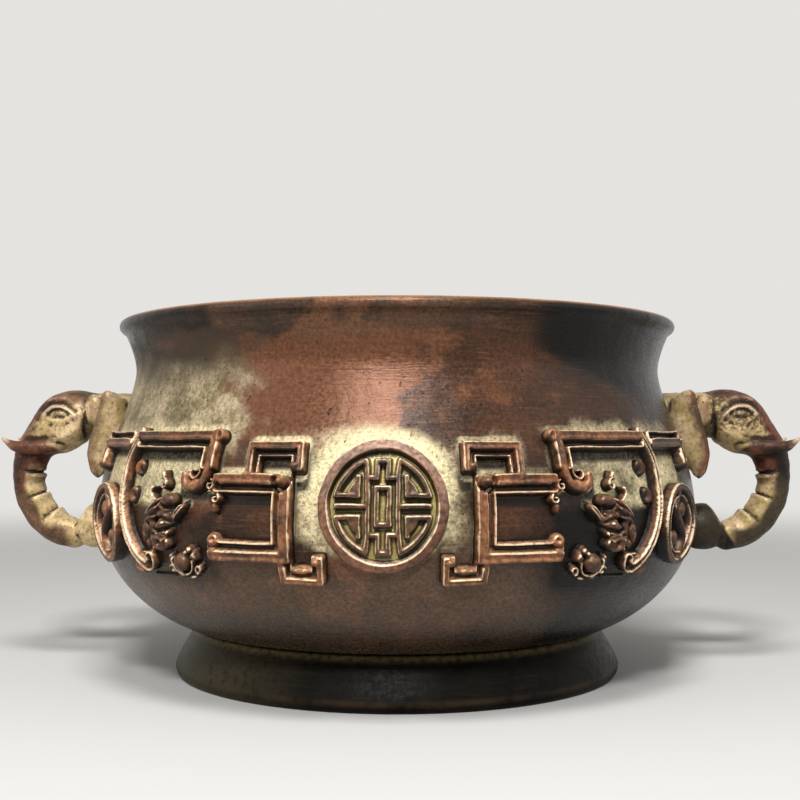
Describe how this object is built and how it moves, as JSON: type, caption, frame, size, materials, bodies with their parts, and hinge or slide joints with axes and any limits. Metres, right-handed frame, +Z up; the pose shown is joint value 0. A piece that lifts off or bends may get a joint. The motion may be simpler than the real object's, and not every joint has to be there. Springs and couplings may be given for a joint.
{
  "type": "incense burner",
  "caption": "Low round-bellied copper incense burner on a flared foot ring, with elephant-head handles and raised scroll ornament round the belly.",
  "frame": {"origin": "centre of the foot ring on the table", "axes": "+Z up, the front roundel faces -Y, the handles stand out along +X and -X"},
  "size_m": [0.185, 0.138, 0.0774],
  "materials": {
    "bowl": "red-brown patina, satin, dusty olive film on the neck, worn bright rim",
    "foot": "dark olive-black patina, satin",
    "ornament": "red-brown ridges with worn bright edges, olive in the recesses",
    "fret": "olive-yellow bars over a dark ground",
    "handle": "dull beige-yellow patina with brown high points",
    "rivet": "peened, dull brown"
  },
  "bodies": {
    "root": {"bowl": "bowl", "foot_ring": "foot", "elephant_handle_right": "handle", "elephant_handle_left": "handle", "upper_rivet_right": "rivet", "upper_rivet_left": "rivet", "lower_rivet_right": "rivet", "lower_rivet_left": "rivet", "front_roundel_ring": "ornament", "back_roundel_ring": "ornament", "front_roundel_fret": "fret", "back_roundel_fret": "fret", "square_scroll_front_right": "ornament", "square_scroll_front_left": "ornament", "square_scroll_back_right": "ornament", "square_scroll_back_left": "ornament", "rail_scroll_front_right": "ornament", "rail_scroll_front_left": "ornament", "rail_scroll_back_right": "ornament", "rail_scroll_back_left": "ornament", "outer_frame_front_right": "ornament", "outer_frame_front_left": "ornament", "outer_frame_back_right": "ornament", "outer_frame_back_left": "ornament", "beast_front_right": "ornament", "beast_front_left": "ornament", "beast_back_right": "ornament", "beast_back_left": "ornament", "side_roundel_front_right": "ornament", "side_roundel_front_left": "ornament", "side_roundel_back_right": "ornament", "side_roundel_back_left": "ornament"}
  },
  "joints": []
}
